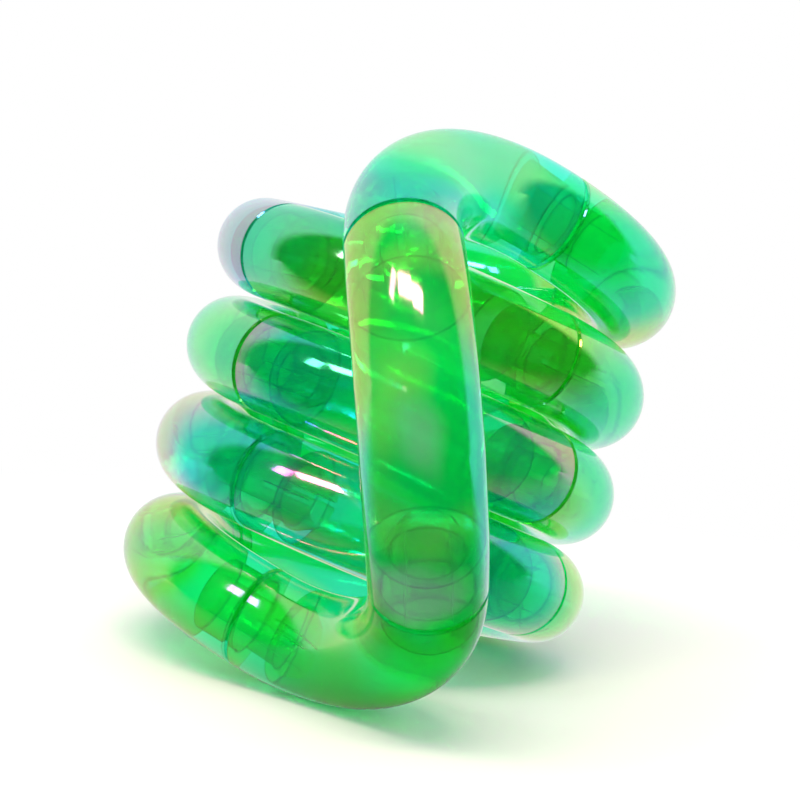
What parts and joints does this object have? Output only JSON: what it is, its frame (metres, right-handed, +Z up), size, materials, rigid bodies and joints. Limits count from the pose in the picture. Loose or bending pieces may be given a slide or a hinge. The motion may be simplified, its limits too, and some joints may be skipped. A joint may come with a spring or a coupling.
{
  "type": "twisty snake puzzle",
  "caption": "Loop of clear tubular quarter-bend links joined by snap-in swivel plugs, wound into a compact coil with one link bridging its front; every link turns on its neighbours.",
  "frame": {"origin": "on the resting surface, under the middle of the wound puzzle's box", "axes": "+Z up, +Y away from the viewer who faces the bridging link, +X to that viewer's right"},
  "size_m": [0.0612, 0.0848, 0.0596],
  "materials": {
    "clear_shell": "polished, transparent green with a pearl tint",
    "clear_plug": "moulded, transparent green"
  },
  "bodies": {
    "link_01": {"elbow_01": "clear_shell", "swivel_plug_01_base": "clear_plug"},
    "link_02": {"elbow_02": "clear_shell", "swivel_plug_02": "clear_plug", "swivel_plug_01": "clear_plug"},
    "link_03": {"elbow_03": "clear_shell", "swivel_plug_03": "clear_plug"},
    "link_04": {"elbow_04": "clear_shell", "swivel_plug_04": "clear_plug"},
    "link_05": {"elbow_05": "clear_shell", "swivel_plug_05": "clear_plug"},
    "link_06": {"elbow_06": "clear_shell", "swivel_plug_06": "clear_plug"},
    "link_07": {"elbow_07": "clear_shell", "swivel_plug_07": "clear_plug"},
    "link_08": {"elbow_08": "clear_shell", "swivel_plug_08": "clear_plug"},
    "link_09": {"elbow_09": "clear_shell", "swivel_plug_09": "clear_plug"},
    "link_10": {"elbow_10": "clear_shell", "swivel_plug_10": "clear_plug"},
    "link_11": {"elbow_11": "clear_shell", "swivel_plug_11": "clear_plug"},
    "link_12": {"elbow_12": "clear_shell", "swivel_plug_12": "clear_plug"},
    "link_13": {"elbow_13": "clear_shell", "swivel_plug_13": "clear_plug"},
    "link_14": {"elbow_14": "clear_shell", "swivel_plug_14": "clear_plug"},
    "link_15": {"elbow_15": "clear_shell", "swivel_plug_15": "clear_plug"},
    "link_16": {"elbow_16": "clear_shell", "swivel_plug_16": "clear_plug"},
    "link_17": {"elbow_17": "clear_shell", "swivel_plug_17": "clear_plug"},
    "link_18": {"elbow_18": "clear_shell", "swivel_plug_18": "clear_plug"}
  },
  "joints": [
    {"name": "swivel_10_11", "type": "hinge", "parent": "link_10", "child": "link_11", "pos_m": [0.01456, -0.0006, 0.02406], "axis": [-0.6581, -0.6991, 0.2796], "range_deg": [0, 72]},
    {"name": "swivel_11_12", "type": "hinge", "parent": "link_11", "child": "link_12", "pos_m": [0.01245, 0.02941, 0.0185], "axis": [0.7532, -0.6572, -0.0285], "range_deg": [0, 120]},
    {"name": "swivel_12_13", "type": "hinge", "parent": "link_12", "child": "link_13", "pos_m": [-0.0178, 0.02675, 0.02214], "axis": [0.6144, 0.7772, -0.1358], "range_deg": [0, 120]},
    {"name": "swivel_13_14", "type": "hinge", "parent": "link_13", "child": "link_14", "pos_m": [-0.01407, -0.00359, 0.0211], "axis": [-0.7832, 0.5942, 0.1829], "range_deg": [0, 72]},
    {"name": "swivel_14_15", "type": "hinge", "parent": "link_14", "child": "link_15", "pos_m": [0.01448, 0.00145, 0.01133], "axis": [-0.5069, -0.8222, 0.2588], "range_deg": [0, 72]},
    {"name": "swivel_15_16", "type": "hinge", "parent": "link_15", "child": "link_16", "pos_m": [0.00635, 0.03038, 0.0056], "axis": [0.8743, -0.4853, 0], "range_deg": [0, 180]},
    {"name": "swivel_16_17", "type": "hinge", "parent": "link_16", "child": "link_17", "pos_m": [-0.02267, 0.02167, 0.00983], "axis": [0.4373, 0.8788, -0.191], "range_deg": [0, 180]},
    {"name": "swivel_17_18", "type": "hinge", "parent": "link_17", "child": "link_18", "pos_m": [-0.01373, -0.00745, 0.00703], "axis": [0.8415, -0.4374, -0.3172], "range_deg": [0, 180]},
    {"name": "swivel_18_01", "type": "hinge", "parent": "link_18", "child": "link_01", "pos_m": [0.00245, -0.0316, 0.01657], "axis": [-0.1105, -0.6543, 0.7481], "continuous": true},
    {"name": "swivel_09_10", "type": "hinge", "parent": "link_10", "child": "link_09", "pos_m": [-0.01456, 0.00029, 0.03339], "axis": [0.6581, -0.7394, -0.142], "range_deg": [0, 72]},
    {"name": "swivel_08_09", "type": "hinge", "parent": "link_09", "child": "link_08", "pos_m": [-0.01246, 0.03081, 0.03315], "axis": [-0.7532, -0.6399, 0.1526], "range_deg": [0, 120]},
    {"name": "swivel_07_08", "type": "hinge", "parent": "link_08", "child": "link_07", "pos_m": [0.0178, 0.02751, 0.03009], "axis": [-0.6144, 0.7889, -0.014], "range_deg": [0, 120]},
    {"name": "swivel_06_07", "type": "hinge", "parent": "link_07", "child": "link_06", "pos_m": [0.01407, -0.00209, 0.03686], "axis": [0.7832, 0.5488, -0.2922], "range_deg": [0, 72]},
    {"name": "swivel_05_06", "type": "hinge", "parent": "link_06", "child": "link_05", "pos_m": [-0.01448, 0.00472, 0.0455], "axis": [0.5069, -0.8564, -0.0982], "range_deg": [0, 72]},
    {"name": "swivel_04_05", "type": "hinge", "parent": "link_05", "child": "link_04", "pos_m": [-0.00635, 0.03421, 0.04564], "axis": [-0.8743, -0.4765, 0.092], "range_deg": [0, 180]},
    {"name": "swivel_03_04", "type": "hinge", "parent": "link_04", "child": "link_03", "pos_m": [0.02267, 0.02486, 0.04314], "axis": [-0.4373, 0.8991, 0.0209], "range_deg": [0, 180]},
    {"name": "swivel_02_03", "type": "hinge", "parent": "link_03", "child": "link_02", "pos_m": [0.01373, -0.0032, 0.0514], "axis": [-0.8415, -0.3693, 0.3944], "range_deg": [-30, 180]}
  ],
  "couplings": [
    {"joint": "swivel_10_11", "follows": "swivel_17_18", "ratio": 0.4},
    {"joint": "swivel_13_14", "follows": "swivel_17_18", "ratio": 0.4},
    {"joint": "swivel_14_15", "follows": "swivel_17_18", "ratio": 0.4},
    {"joint": "swivel_09_10", "follows": "swivel_03_04", "ratio": 0.4},
    {"joint": "swivel_06_07", "follows": "swivel_03_04", "ratio": 0.4},
    {"joint": "swivel_05_06", "follows": "swivel_03_04", "ratio": 0.4}
  ]
}
